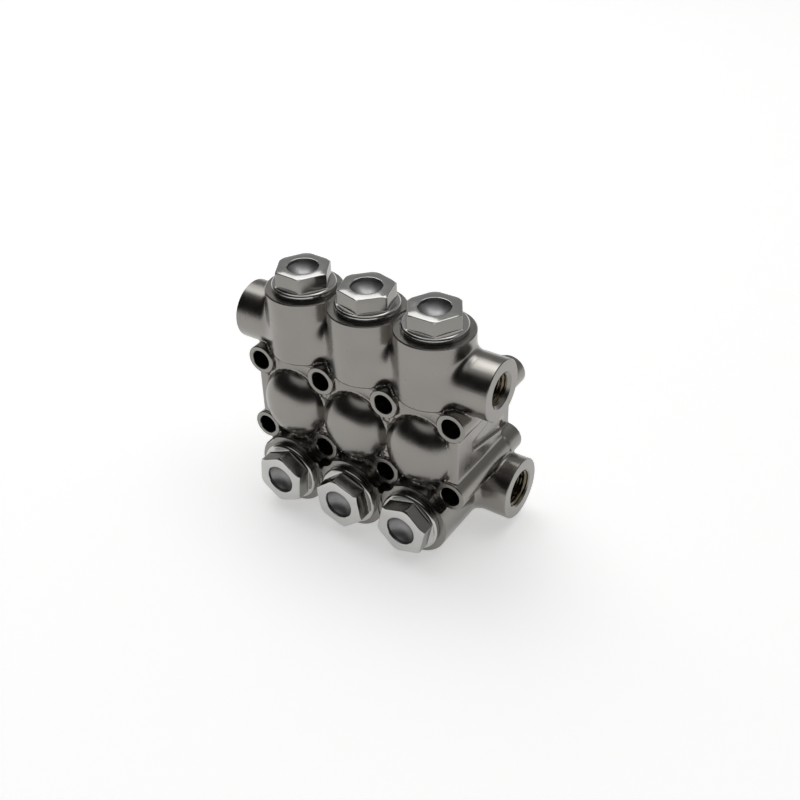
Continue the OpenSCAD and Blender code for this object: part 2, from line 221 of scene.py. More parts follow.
# Turns that lay +Z along the other axes
ALONG_Z = Euler((0, 0, 0))
ALONG_BACK = Euler((-math.pi / 2, 0, 0))
ALONG_FRONT = Euler((math.pi / 2, 0, 0))


def along_x(side):
    return Euler((0, side * math.pi / 2, 0))


def put(obj, place, turn):
    """Turns an object and moves it to place, in metres."""
    obj.matrix_world = Matrix.Translation(place) @ turn.to_matrix().to_4x4()


def box_object(name, low, high):
    low, high = np.array(low, float), np.array(high, float)
    corners = [[(low, high)[i][0], (low, high)[j][1], (low, high)[k][2]]
               for i in (0, 1) for j in (0, 1) for k in (0, 1)]
    faces = [(0, 1, 3, 2), (4, 6, 7, 5), (0, 4, 5, 1), (2, 3, 7, 6), (0, 2, 6, 4), (1, 5, 7, 3)]
    return mesh_object(name, corners, faces, smooth=False)


# ---------------------------------------------------------------- distance fields

FAR = 50.0
REACH = 4.0


class Forging:
    """A grid of distances to the forged surface, built up by smooth unions and cuts.

    It starts at FAR everywhere, and each form changes it only within REACH of its box."""

    def __init__(self, low, high, step):
        self.low = np.array(low, np.float32)
        self.step = step
        self.axes = [np.arange(a, b + step, step, dtype=np.float32) for a, b in zip(low, high)]
        self.field = np.full([len(axis) for axis in self.axes], FAR, np.float32)

    def part(self, low, high, margin):
        """The slices of the grid near a box, and the coordinates there."""
        cuts = []
        for axis, a, b in zip(self.axes, low, high):
            cuts.append(slice(max(0, np.searchsorted(axis, a - margin)),
                              np.searchsorted(axis, b + margin)))
        x = self.axes[0][cuts[0]][:, None, None]
        y = self.axes[1][cuts[1]][None, :, None]
        z = self.axes[2][cuts[2]][None, None, :]
        return tuple(cuts), x, y, z

    def add(self, distance, low, high, blend):
        cuts, x, y, z = self.part(low, high, REACH + 2 * blend)
        old = self.field[cuts]
        new = distance(x, y, z)
        share = np.clip(0.5 + 0.5 * (new - old) / blend, 0, 1)
        self.field[cuts] = new + (old - new) * share - blend * share * (1 - share)

    def cut(self, distance, low, high, blend):
        cuts, x, y, z = self.part(low, high, REACH + 2 * blend)
        old = self.field[cuts]
        new = -distance(x, y, z)
        share = np.clip(0.5 - 0.5 * (new - old) / blend, 0, 1)
        self.field[cuts] = new + (old - new) * share + blend * share * (1 - share)


def rounded_box(low, high, r):
    centre = (np.array(low) + np.array(high)) / 2
    half = (np.array(high) - np.array(low)) / 2 - r

    def distance(x, y, z):
        q = [np.abs(v - c) - h for v, c, h in zip((x, y, z), centre, half)]
        outside = np.sqrt(sum(np.maximum(v, 0) ** 2 for v in q))
        return outside + np.minimum(np.maximum(np.maximum(q[0], q[1]), q[2]), 0) - r
    return distance


def rounded_rod(axis, centre, radius, low, high, r):
    """A cylinder along an axis (0, 1 or 2) with rounded ends' edges."""
    across = [v for v in range(3) if v != axis]

    def distance(x, y, z):
        p = (x, y, z)
        radial = np.sqrt((p[across[0]] - centre[0]) ** 2 + (p[across[1]] - centre[1]) ** 2)
        q0 = radial - radius + r
        q1 = np.abs(p[axis] - (low + high) / 2) - (high - low) / 2 + r
        return np.sqrt(np.maximum(q0, 0) ** 2 + np.maximum(q1, 0) ** 2) \
            + np.minimum(np.maximum(q0, q1), 0) - r
    return distance


def tapered_tail(centre_x, centre_z, r_front, r_back, front, back):
    """The cone that narrows a barrel towards the inlet gallery."""
    slope = (r_front - r_back) / (back - front)
    lean = 1 / math.sqrt(1 + slope ** 2)

    def distance(x, y, z):
        radial = np.sqrt((x - centre_x) ** 2 + (z - centre_z) ** 2)
        cone = (radial - r_front + slope * (y - front)) * lean
        return np.maximum(cone, np.maximum(front - y, y - back))
    return distance


def dome(centre_x):
    """A round bulge over a chamber, drawn down towards its suction barrel."""
    flat = DOME_R - DOME_ROUND

    def distance(x, y, z):
        below = z + np.clip(-z, 0, DOME_DROP)
        q0 = np.sqrt((x - centre_x) ** 2 + below ** 2) - flat
        q1 = DOME_FRONT + DOME_ROUND - y
        return np.sqrt(np.maximum(q0, 0) ** 2 + np.maximum(q1, 0) ** 2) \
            + np.minimum(np.maximum(q0, q1), 0) - DOME_ROUND
    return distance


def side_hollow(side):
    """The shallow hollow in the block's side, wider towards the crankcase."""
    floor = FLANGE_X + RIB_WIDTH / 2 - HOLLOW_DEPTH
    front, back = HOLLOW_FRONT, FLANGE_FRONT

    def distance(x, y, z):
        half = HOLLOW_NOSE + (HOLLOW_HALF - HOLLOW_NOSE) * (y - front) / (back - front)
        return np.maximum(np.maximum(front - y, y - back),
                          np.maximum(np.abs(z) - half, floor - side * x))
    return distance


def forge():
    """The raw forging, slightly longer than the machined part at every machined face."""
    forging = Forging(BODY_LOW - GRID_MARGIN, BODY_HIGH + GRID_MARGIN, VOXEL)

    def block(low, high, r, blend):
        forging.add(rounded_box(low, high, r), low, high, blend)

    def rod(axis, centre, radius, low, high, r, blend):
        across = [v for v in range(3) if v != axis]
        box_low, box_high = np.zeros(3), np.zeros(3)
        box_low[axis], box_high[axis] = low, high
        for v, c in zip(across, centre):
            box_low[v], box_high[v] = c - radius, c + radius
        forging.add(rounded_rod(axis, centre, radius, low, high, r), box_low, box_high, blend)

    block((-BLOCK_X, BLOCK_FRONT, -BLOCK_Z), (BLOCK_X, STOCK, BLOCK_Z), r=2.5, blend=0.5)
    block((-FLANGE_X, FLANGE_FRONT, -FLANGE_Z), (FLANGE_X, STOCK, FLANGE_Z), r=1.5, blend=2.0)
    web_x = PITCH + TOWER_R / 2
    block((-web_x, BLOCK_FRONT + 1, BARREL_Z), (web_x, INLET_Y, 0), r=4.0, blend=3.0)
    for x in BOLT_X:
        for reach in SIDES:
            if abs(x) > PITCH:
                low = (x - RIB_WIDTH / 2, RIB_FRONT, -BOLT_Z)
                high = (x + RIB_WIDTH / 2, FLANGE_FRONT, BOLT_Z)
                block(low, high, r=1.2, blend=2.0)
            else:
                bottom, top = sorted((reach * INNER_RIB_START, reach * BOLT_Z))
                low = (x - INNER_RIB_HALF, RIB_FRONT + 0.3, bottom)
                high = (x + INNER_RIB_HALF, BLOCK_FRONT + 4, top)
                block(low, high, r=1.0, blend=1.5)
    for side in SIDES:
        left, right = sorted((side * 50, side * 70))
        low = (left, HOLLOW_FRONT, -HOLLOW_HALF - 0.5)
        high = (right, FLANGE_FRONT, HOLLOW_HALF + 0.5)
        forging.cut(side_hollow(side), low, high, blend=1.2)
    for x in CYLINDER_X:
        low = (x - DOME_R, DOME_FRONT, -DOME_DROP - DOME_R)
        high = (x + DOME_R, FLANGE_FRONT, DOME_R)
        forging.add(dome(x), low, high, blend=0.5)
    for x in CYLINDER_X:
        rod(2, (x, TOWER_Y), TOWER_R, BLOCK_Z, TOWER_TOP + STOCK, r=1.8, blend=1.0)
        rod(1, (x, BARREL_Z), BARREL_R, BARREL_FRONT - STOCK, BARREL_BACK, r=0.8, blend=1.6)
        tail = tapered_tail(x, BARREL_Z, BARREL_R - 0.1, BARREL_TAIL_R, BARREL_BACK, INLET_Y)
        low = (x - BARREL_R, BARREL_BACK, BARREL_Z - BARREL_R)
        high = (x + BARREL_R, INLET_Y, BARREL_Z + BARREL_R)
        forging.add(tail, low, high, blend=0.2)
    outlet, inlet = OUTLET_FACE + STOCK, INLET_FACE + STOCK
    rod(0, (OUTLET_Y, OUTLET_Z), OUTLET_R, -outlet, outlet, r=1.0, blend=4.0)
    rod(0, (INLET_Y, INLET_Z), INLET_R, -inlet, inlet, r=1.0, blend=4.0)
    for x in BOLT_X:
        for side in SIDES:
            centre = (x, side * BOLT_Z)
            rod(1, centre, COLUMN_R, COLUMN_FRONT - STOCK, STOCK, r=0.8, blend=1.6)
            rod(1, centre, COLUMN_R + EAR_STEP, FLANGE_FRONT, STOCK, r=0.4, blend=0.4)
    return forging


CORNERS = [(i, j, k) for i in (0, 1) for j in (0, 1) for k in (0, 1)]
CELL_EDGES = [(a, b) for a in range(8) for b in range(a + 1, 8)
              if sum(abs(p - q) for p, q in zip(CORNERS[a], CORNERS[b])) == 1]


def surface_net(forging):
    """Vertices (mm) and quads of the zero surface: one vertex per cell that it crosses."""
    field = forging.field
    inside = field < 0
    size = [n - 1 for n in field.shape]
    count = sum(inside[i:size[0] + i, j:size[1] + j, k:size[2] + k].astype(np.int8)
                for i, j, k in CORNERS)
    active = (count > 0) & (count < 8)
    cells = np.argwhere(active)
    values = [field[cells[:, 0] + i, cells[:, 1] + j, cells[:, 2] + k] for i, j, k in CORNERS]
    total = np.zeros((len(cells), 3))
    crossings = np.zeros(len(cells))
    for a, b in CELL_EDGES:
        crosses = (values[a] < 0) != (values[b] < 0)
        gap = np.where(crosses, values[a] - values[b], 1)
        t = np.where(crosses, values[a] / gap, 0)
        start, end = np.array(CORNERS[a]), np.array(CORNERS[b])
        total += crosses[:, None] * (start + t[:, None] * (end - start))
        crossings += crosses
    vertices = cells + total / crossings[:, None]
    number = np.full(size, -1, np.int64)
    number[active] = np.arange(len(cells))
    quads = []
    for axis in range(3):
        u, v = (axis + 1) % 3, (axis + 2) % 3
        first, second = [slice(None)] * 3, [slice(None)] * 3
        first[axis], second[axis] = slice(0, -1), slice(1, None)
        starts, ends = inside[tuple(first)], inside[tuple(second)]
        for flip in (False, True):
            change = (starts & ~ends) if flip else (~starts & ends)
            at = np.argwhere(change)
            at = at[(at[:, u] > 0) & (at[:, v] > 0)]
            around = []
            for du, dv in ((1, 1), (0, 1), (0, 0), (1, 0)):
                cell = at.copy()
                cell[:, u] -= du
                cell[:, v] -= dv
                around.append(number[cell[:, 0], cell[:, 1], cell[:, 2]])
            if flip:
                around.reverse()
            quads.append(np.column_stack(around)[:, ::-1])
    return settle(vertices, field) * forging.step + forging.low, np.vstack(quads)


def settle(points, field, rounds=3):
    """Moves points, in grid units, along the gradient onto the zero surface."""
    top = np.array(field.shape) - 1.001
    for _ in range(rounds):
        value = sample(field, np.clip(points, 0, top))
        slope = np.empty_like(points)
        for axis in range(3):
            step = np.zeros(3)
            step[axis] = 0.5
            slope[:, axis] = sample(field, np.clip(points + step, 0, top)) \
                - sample(field, np.clip(points - step, 0, top))
        length = np.maximum((slope ** 2).sum(1), 0.05)
        move = slope * (value / length)[:, None]
        points = points - np.clip(move, -0.5, 0.5)
    return points


def sample(field, points):
    """Trilinear value of the field at points in grid units."""
    base = points.astype(np.int64)
    part = points - base
    value = np.zeros(len(points))
    for i, j, k in CORNERS:
        weight = np.abs(1 - i - part[:, 0]) * np.abs(1 - j - part[:, 1]) \
            * np.abs(1 - k - part[:, 2])
        value += weight * field[base[:, 0] + i, base[:, 1] + j, base[:, 2] + k]
    return value


def fast_mesh_object(name, vertices, quads):
    """A mesh object from large arrays of millimetre vertices and quads."""
    mesh = bpy.data.meshes.new(name)
    mesh.vertices.add(len(vertices))
    mesh.vertices.foreach_set("co", (vertices * MM).astype(np.float32).ravel())
    mesh.loops.add(quads.size)
    mesh.loops.foreach_set("vertex_index", quads.ravel().astype(np.int32))
    mesh.polygons.add(len(quads))
    mesh.polygons.foreach_set("loop_start", np.arange(0, quads.size, 4, dtype=np.int32))
    mesh.update(calc_edges=True)
    mesh.validate()
    obj = bpy.data.objects.new(name, mesh)
    bpy.context.scene.collection.objects.link(obj)
    return obj


# ---------------------------------------------------------------- machining

def end_cutter(name, radius, hole, axis_turn, place, edge=0.5):
    """Faces a round boss at its end, bevels its rim and drills it.

    hole is the drilled profile below the face, as (radius, depth) from the mouth inwards."""
    clear, slope, skirt = 6.0, 0.1, 1.2
    profile = [(hole[-1][0], -hole[-1][1])]
    profile += [(r, -depth) for r, depth in reversed(hole[:-1])]
    profile += [(radius - edge, 0), (radius + slope, -edge - slope),
                (radius + skirt, -edge - slope), (radius + skirt, clear)]
    return lathe(name, profile, axis_turn, place)


def port_hole(thread, bore_r):
    mouth_depth = thread["mouth"] - thread["major"]
    depth = thread["depth"]
    return [(thread["mouth"], 0), (thread["major"], mouth_depth), (thread["major"], depth),
            (bore_r, depth + thread["major"] - bore_r), (bore_r, INLET_FACE + 1)]


def machining_cutters():
    cutters = [box_object("cut_back", (-90, 0, -80), (90, 12, 80))]
    valve_hole = [(CAP_THREAD_R + VALVE_CHAMFER, 0), (CAP_THREAD_R, VALVE_CHAMFER),
                  (CAP_THREAD_R, CAP_THREAD_LENGTH), (VALVE_BORE_R, CAP_THREAD_LENGTH),
                  (VALVE_BORE_R, VALVE_DEPTH),
                  (PASSAGE_R, VALVE_DEPTH), (PASSAGE_R, TOWER_TOP)]
    feed_hole = valve_hole[:-1] + [(PASSAGE_R, -BARREL_FRONT + INLET_Y)]
    for x in CYLINDER_X:
        cutters.append(end_cutter("cut_tower", TOWER_R, valve_hole, ALONG_Z,
                                  (x, TOWER_Y, TOWER_TOP)))
        cutters.append(end_cutter("cut_barrel", BARREL_R, feed_hole, ALONG_FRONT,
                                  (x, BARREL_FRONT, BARREL_Z)))
        passage = [(PASSAGE_R, BARREL_Z), (PASSAGE_R, 1)]
        cutters.append(lathe("cut_passage", passage, ALONG_Z, (x, TOWER_Y, 0), 48))
        packing = [(CHAMBER_R, -CHAMBER_DEPTH), (CHAMBER_R, -PACKING_DEPTH),
                   (PACKING_R, -PACKING_DEPTH), (PACKING_R, -PACKING_CHAMFER),
                   (PACKING_R + PACKING_CHAMFER, 0), (PACKING_R + PACKING_CHAMFER, 1)]
        cutters.append(lathe("cut_packing", packing, ALONG_BACK, (x, 0, 0)))
    for side in SIDES:
        cutters.append(end_cutter("cut_outlet", OUTLET_R, port_hole(OUTLET_THREAD, OUTLET_BORE_R),
                                  along_x(side), (side * OUTLET_FACE, OUTLET_Y, OUTLET_Z), 0.4))
        cutters.append(end_cutter("cut_inlet", INLET_R, port_hole(INLET_THREAD, INLET_BORE_R),
                                  along_x(side), (side * INLET_FACE, INLET_Y, INLET_Z), 0.4))
        for x in BOLT_X:
            depth = -COLUMN_FRONT
            hole = [(BOLT_HOLE_R + 0.3, 0), (BOLT_HOLE_R, 0.3), (BOLT_HOLE_R, depth - 0.4),
                    (BOLT_HOLE_R + 0.4, depth), (BOLT_HOLE_R + 0.4, depth + 1)]
            cutters.append(end_cutter("cut_column", COLUMN_R, hole, ALONG_FRONT,
                                      (x, COLUMN_FRONT, side * BOLT_Z), 0.35))
    return cutters


def apply_modifiers(obj):
    """Replaces the object's mesh by its evaluated one and drops its modifiers."""
    depsgraph = bpy.context.evaluated_depsgraph_get()
    mesh = bpy.data.meshes.new_from_object(obj.evaluated_get(depsgraph))
    old = obj.data
    obj.modifiers.clear()
    obj.data = mesh
    bpy.data.meshes.remove(old)


def machine(obj, cutters):
    for cutter in cutters:
        modifier = obj.modifiers.new(cutter.name, "BOOLEAN")
        modifier.operation = "DIFFERENCE"
        modifier.solver = "MANIFOLD"
        modifier.object = cutter
    apply_modifiers(obj)
    for cutter in cutters:
        bpy.data.objects.remove(cutter)


def mark_machined(obj):
    """Gives every cut face the second material slot, the port holes and mouths the third, dark one
    as painted shade, and sharpens the cut edges.
    """
    mesh = obj.data
    count = len(mesh.polygons)
    centre, normal = np.empty(count * 3, np.float32), np.empty(count * 3, np.float32)
    mesh.polygons.foreach_get("center", centre)
    mesh.polygons.foreach_get("normal", normal)
    x, y, z = (centre.reshape(-1, 3) / MM).T
    nx, ny, nz = normal.reshape(-1, 3).T
    near = 0.02
    cut = (y > -near) | (z > TOWER_TOP - near) | (y < BARREL_FRONT + near)
    cut |= (np.abs(y - COLUMN_FRONT) < near) & (ny < -0.99)
    cut |= (np.abs(np.abs(x) - OUTLET_FACE) < near) & (np.abs(nx) > 0.99)
    cut |= (np.abs(np.abs(x) - INLET_FACE) < near)
    inner = np.zeros(count, bool)

    def bore(a, b, r, span, at, low, high):
        away = np.hypot(a, b)
        return (away < r) & (span > low) & (span < high)
    for cx in CYLINDER_X:
        inner |= bore(x - cx, y - TOWER_Y, CAP_THREAD_R + 1, z, 0, 0, TOWER_TOP + 1)
        inner |= bore(x - cx, z - BARREL_Z, CAP_THREAD_R + 1, y, 0, BARREL_FRONT - 1, -10)
        inner |= bore(x - cx, z, PACKING_R + 1, y, 0, -CHAMBER_DEPTH - 1, 1)
    inner |= np.hypot(y - OUTLET_Y, z - OUTLET_Z) < OUTLET_THREAD["mouth"] + 0.1
    inner |= np.hypot(y - INLET_Y, z - INLET_Z) < INLET_THREAD["mouth"] + 0.1
    for bx in BOLT_X:
        for side in SIDES:
            inner |= np.hypot(x - bx, z - side * BOLT_Z) < BOLT_HOLE_R + 0.5
    # Port holes and their mouth chamfers get the dark thread colour: painted shade
    port_faces_painted_shade = np.hypot(y - OUTLET_Y, z - OUTLET_Z) < OUTLET_THREAD["mouth"]
    port_faces_painted_shade |= np.hypot(y - INLET_Y, z - INLET_Z) < INLET_THREAD["mouth"]
    slot = np.where(port_faces_painted_shade & (np.abs(x) > PITCH + TOWER_R), 2, cut | inner)
    mesh.polygons.foreach_set("material_index", slot.astype(np.int32))
    mesh.polygons.foreach_set("use_smooth", np.ones(count, bool))
    mesh.set_sharp_from_angle(angle=math.radians(28))
    mesh.update()


# ---------------------------------------------------------------- build the body

forging = forge()
body = fast_mesh_object("manifold_casting", *surface_net(forging))
del forging
machine(body, machining_cutters())
mark_machined(body)
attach(body, "head")
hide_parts("manifold_body")


# ---------------------------------------------------------------- materials

def new_material(name):
    material = bpy.data.materials.new(name)
    material.use_nodes = True
    tree = material.node_tree
    return material, tree, tree.nodes["Principled BSDF"]


def link(tree, source, socket, target, target_socket):
    tree.links.new(source.outputs[socket], target.inputs[target_socket])


def noise(tree, coordinates, scale, detail, stretch=None):
    """Noise in object space; scale is in cycles per metre."""
    node = tree.nodes.new("ShaderNodeTexNoise")
    node.inputs["Scale"].default_value = scale
    node.inputs["Detail"].default_value = detail
    if stretch:
        mapping = tree.nodes.new("ShaderNodeMapping")
        mapping.inputs["Scale"].default_value = stretch
        link(tree, coordinates, "Object", mapping, "Vector")
        link(tree, mapping, "Vector", node, "Vector")
    else:
        link(tree, coordinates, "Object", node, "Vector")
    return node


def ramp(tree, source, socket, stops):
    """A colour ramp from (position, colour) stops; a number stands for a grey."""
    node = tree.nodes.new("ShaderNodeValToRGB")
    points = node.color_ramp.elements
    while len(points) < len(stops):
        points.new(0.5)
    for point, (place, colour) in zip(points, stops):
        point.position = place
        point.color = (*colour, 1) if isinstance(colour, tuple) else (colour, colour, colour, 1)
    link(tree, source, socket, node, "Fac")
    return node


def bump(tree, shader, source, socket, strength, distance, before=None):
    node = tree.nodes.new("ShaderNodeBump")
    node.inputs["Strength"].default_value = strength
    node.inputs["Distance"].default_value = distance
    link(tree, source, socket, node, "Height")
    if before:
        link(tree, before, "Normal", node, "Normal")
    link(tree, node, "Normal", shader, "Normal")
    return node


def shades(colour, low, high):
    return tuple(c * low for c in colour), tuple(c * high for c in colour)


def metal(name, colour, roughness, grain, grain_depth, mottle=45, spread=0.06, stretch=None):
    """A plated or machined metal: mottled tint, uneven gloss and a fine grain.

    grain and mottle are in cycles per metre, grain_depth in metres."""
    material, tree, shader = new_material(name)
    coordinates = tree.nodes.new("ShaderNodeTexCoord")
    broad = noise(tree, coordinates, mottle, 3)
    dark, light = shades(colour, 1 - spread, 1 + spread)
    tint = ramp(tree, broad, "Fac", [(0.3, dark), (0.7, light)])
    link(tree, tint, "Color", shader, "Base Color")
    patchy = noise(tree, coordinates, mottle * 4, 4)
    gloss = ramp(tree, patchy, "Fac", [(0.3, roughness * 0.85), (0.7, roughness * 1.15)])
    link(tree, gloss, "Color", shader, "Roughness")
    fine = noise(tree, coordinates, grain, 3, stretch)
    bump(tree, shader, fine, "Fac", 0.5, grain_depth)
    shader.inputs["Metallic"].default_value = 1.0
    return material


def soft_solid(name, colour, roughness, grain, grain_depth, spread=0.15):
    """Rubber, fabric-filled packing or moulded plastic."""
    material, tree, shader = new_material(name)
    coordinates = tree.nodes.new("ShaderNodeTexCoord")
    broad = noise(tree, coordinates, 300, 4)
    dark, light = shades(colour, 1 - spread, 1 + spread)
    tint = ramp(tree, broad, "Fac", [(0.3, dark), (0.7, light)])
    link(tree, tint, "Color", shader, "Base Color")
    fine = noise(tree, coordinates, grain, 4)
    bump(tree, shader, fine, "Fac", 0.6, grain_depth)
    shader.inputs["Roughness"].default_value = roughness
    return material


forged_nickel = metal("forged_nickel", (0.27, 0.258, 0.24), 0.24, 1400, 0.000012)
machined_nickel = metal("machined_nickel", (0.62, 0.61, 0.59), 0.22, 5000, 0.000006)
cap_nickel = metal("cap_nickel", (0.52, 0.515, 0.50), 0.15, 5000, 0.000005)
# Painted shade: the caps' own nickel, made darker for the hex sides
hex_nickel_painted_shade = metal("hex_nickel_painted_shade", (0.27, 0.26, 0.243), 0.2, 3000, 0.000006)
dish_nickel = metal("dish_nickel", (0.32, 0.32, 0.32), 0.45, 2500, 0.00001)
# Brass showing in the cut threads, darkened further as painted shade for the dim inside of the ports
thread_brass_and_painted_shade = metal("thread_brass_and_painted_shade", (0.14, 0.12, 0.085), 0.2, 5000, 0.000006)
carrier_brass = metal("carrier_brass", (0.72, 0.53, 0.25), 0.25, 6000, 0.00001)
stainless = metal("stainless", (0.58, 0.58, 0.58), 0.22, 6000, 0.000006)
spring_steel = metal("spring_steel", (0.45, 0.45, 0.46), 0.25, 6000, 0.000006)
cage_plastic = soft_solid("cage_plastic", (0.75, 0.73, 0.68), 0.45, 3000, 0.00001, 0.04)
seal_rubber = soft_solid("seal_rubber", (0.02, 0.02, 0.021), 0.5, 4000, 0.00001)
packing_rubber = soft_solid("packing_rubber", (0.05, 0.04, 0.03), 0.6, 1500, 0.00004)

SLOT_MATERIALS = {
    "body_nickel": forged_nickel, "cap_nickel": cap_nickel, "carrier_brass": carrier_brass,
    "stainless": stainless, "spring_steel": spring_steel, "cage_plastic": cage_plastic,
    "seal_rubber": seal_rubber, "packing_rubber": packing_rubber,
}
for part in frame["record"]["subparts"]:
    node = frame["nodes"][part["node"]]
    node.data.materials.clear()
    node.data.materials.append(SLOT_MATERIALS[part["material_slot"]])
body.data.materials.clear()
body.data.materials.append(forged_nickel)
body.data.materials.append(machined_nickel)
body.data.materials.append(thread_brass_and_painted_shade)


# ---------------------------------------------------------------- hex caps

def hex_outline(turn, flats, corner_round, per_corner=5, per_flat=12):
    """Points round a hexagon with rounded corners, its first corner at turn degrees."""
    points = []
    centre_r = (flats / 2 - corner_round) / math.cos(math.radians(30))
    for corner in range(6):
        facing = math.radians(turn + 60 * corner)
        centre = np.array([math.cos(facing), math.sin(facing)]) * centre_r
        for k in range(per_corner):
            angle = facing + math.radians(60) * (k / (per_corner - 1) - 0.5)
            points.append(centre + corner_round * np.array([math.cos(angle), math.sin(angle)]))
        normal = facing + math.radians(30)
        start = points[-1]
        length = 2 * centre_r * math.sin(math.radians(30))
        along = np.array([-math.sin(normal), math.cos(normal)])
        for k in range(1, per_flat):
            points.append(start + along * length * k / per_flat)
    return np.array(points)


def cap_rings(turn):
    """The rings of a cap, z = 0 on the face that it sits on, from the nose to the recess."""
    outline = hex_outline(turn, CAP_HEX, 0.5)
    reach = np.hypot(*outline.T)
    facing = outline / reach[:, None]
    rings = []

    def circle(r, z):
        rings.append(np.column_stack([facing * r, np.full(len(facing), z)]))

    def hexagon(shrink, z):
        kept = reach - shrink
        rings.append(np.column_stack([facing * kept[:, None],
                                      np.broadcast_to(z, len(facing))]))

    nose = VALVE_BORE_R - 0.1
    thread = CAP_THREAD_R - 0.08
    bottom = -CAP_THREAD_LENGTH - 6.0
    groove_low, groove_high, groove_r = bottom + 1.9, bottom + 4.1, 10.66
    for r, z in ((nose - 0.6, bottom), (nose, bottom + 0.6), (nose, groove_low),
                 (groove_r, groove_low), (groove_r, groove_high), (nose, groove_high),
                 (nose, -CAP_THREAD_LENGTH),
                 (thread, -CAP_THREAD_LENGTH), (thread, 0), (CAP_FLANGE_R - 0.3, 0),
                 (CAP_FLANGE_R, 0.3), (CAP_FLANGE_R, CAP_FLANGE_HEIGHT - 0.95),
                 (CAP_FLANGE_R - 0.12, CAP_FLANGE_HEIGHT - 0.7),
                 (CAP_FLANGE_R - 0.7, CAP_FLANGE_HEIGHT - 0.12),
                 (CAP_FLANGE_R - 0.95, CAP_FLANGE_HEIGHT)):
        circle(r, z)
    base, top = CAP_FLANGE_HEIGHT, CAP_FLANGE_HEIGHT + CAP_HEX_HEIGHT
    cut = np.maximum(reach - (CAP_HEX / math.sqrt(3) - CAP_CORNER_CUT), 0)
    shoulder = top - 0.32 - cut * math.tan(math.radians(30))
    hexagon(-0.35, base)
    hexagon(-0.1, base + 0.1)
    hexagon(0, base + 0.4)
    hexagon(0, shoulder - 0.12)
    hexagon(0.05, shoulder)
    hexagon(0.1 + 0.3 * cut, shoulder + 0.07 + 0.2 * cut)
    hexagon(0.42 + cut, top - 0.03)
    hexagon(0.5 + cut, top)
    wall = CAP_RECESS_R - 0.25
    for r, z in ((CAP_RECESS_R + 0.12, 0), (CAP_RECESS_R - 0.05, -0.08), (wall, -0.35)):
        circle(r, top + z)
    dish = CAP_RECESS_DEPTH - CAP_RECESS_WALL
    sphere_r = (wall ** 2 + dish ** 2) / (2 * dish)
    spread = math.asin(wall / sphere_r)
    for k in range(16):
        angle = spread * (1 - k / 16)
        circle(sphere_r * math.sin(angle),
               top - CAP_RECESS_DEPTH + sphere_r * (1 - math.cos(angle)))
    return rings


def build_cap(kind, number):
    rings = cap_rings(HEX_TURNS[kind][number - 1])
    count = len(rings[0])
    poles = [[0, 0, rings[0][0][2]], [0, 0, rings[-1][0][2]]]
    cap = mesh_object(f"{kind}_cap_{number}_turned", np.vstack(rings + [poles]),
                      stack_faces(len(rings), count))
    x = CYLINDER_X[number - 1]
    if kind == "discharge":
        place, turn = (x, TOWER_Y, TOWER_TOP), ALONG_Z
    else:
        place, turn = (x, BARREL_FRONT, BARREL_Z), ALONG_FRONT
    put(cap, Vector(place) * MM, turn)
    cap.data.set_sharp_from_angle(angle=math.radians(24))
    cap.data.materials.append(cap_nickel)
    cap.data.materials.append(dish_nickel)
    cap.data.materials.append(hex_nickel_painted_shade)
    dish_start = (len(rings) - 17) * count
    for polygon in cap.data.polygons:
        if min(polygon.vertices) >= dish_start and len(rings) * count not in polygon.vertices:
            polygon.material_index = 1
        # The hex sides take the darker copy of the cap nickel, as painted shade
        elif polygon.normal.z ** 2 < 0.1 and polygon.center.z > CAP_FLANGE_HEIGHT * MM:
            polygon.material_index = 2
    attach(cap, "head")
    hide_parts(f"{kind}_cap_{number}")


for kind in HEX_TURNS:
    for number in NUMBERS:
        build_cap(kind, number)


# ---------------------------------------------------------------- port threads

def build_thread(name, thread, side, y, z, face):
    """A sleeve in the port whose inner face carries the helical thread."""
    count, per_turn = 96, 10
    depth = thread["depth"] - 0.05
    start = thread["mouth"] - thread["major"]
    outer = thread["major"] + 0.25
    turns = np.arange(count) * 2 * np.pi / count
    levels = np.arange(start, depth, THREAD_PITCH / per_turn)
    rings = [np.column_stack([outer * np.cos(turns), outer * np.sin(turns), np.full(count, -level)])
             for level in (depth, start - 0.2)]
    for level in levels:
        phase = (level / THREAD_PITCH + turns / (2 * np.pi)) % 1
        ridge = np.clip(1.25 * (1 - np.abs(2 * phase - 1)) - 0.12, 0, 1)
        fade = np.clip((level - start) / THREAD_PITCH + 0.1, 0, 1)
        r = thread["major"] - (thread["major"] - thread["minor"]) * ridge * fade
        rings.append(np.column_stack([r * np.cos(turns), r * np.sin(turns),
                                      np.full(count, -level)]))
    faces = stack_faces(len(rings), count, closed_ends=False)
    last = (len(rings) - 1) * count
    faces += [(last + k, last + (k + 1) % count, (k + 1) % count, k) for k in range(count)]
    sleeve = mesh_object(name, np.vstack(rings), faces)
    put(sleeve, Vector((side * face, y, z)) * MM, along_x(side))
    sleeve.data.set_sharp_from_angle(angle=math.radians(40))
    # The thread colour is a brass tint darkened with painted shade
    sleeve.data.materials.append(thread_brass_and_painted_shade)
    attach(sleeve, "head")


for side, word in zip(SIDES, ("left", "right")):
    build_thread(f"outlet_thread_{word}", OUTLET_THREAD, side, OUTLET_Y, OUTLET_Z, OUTLET_FACE)
    build_thread(f"inlet_thread_{word}", INLET_THREAD, side, INLET_Y, INLET_Z, INLET_FACE)


# ---------------------------------------------------------------- valve springs

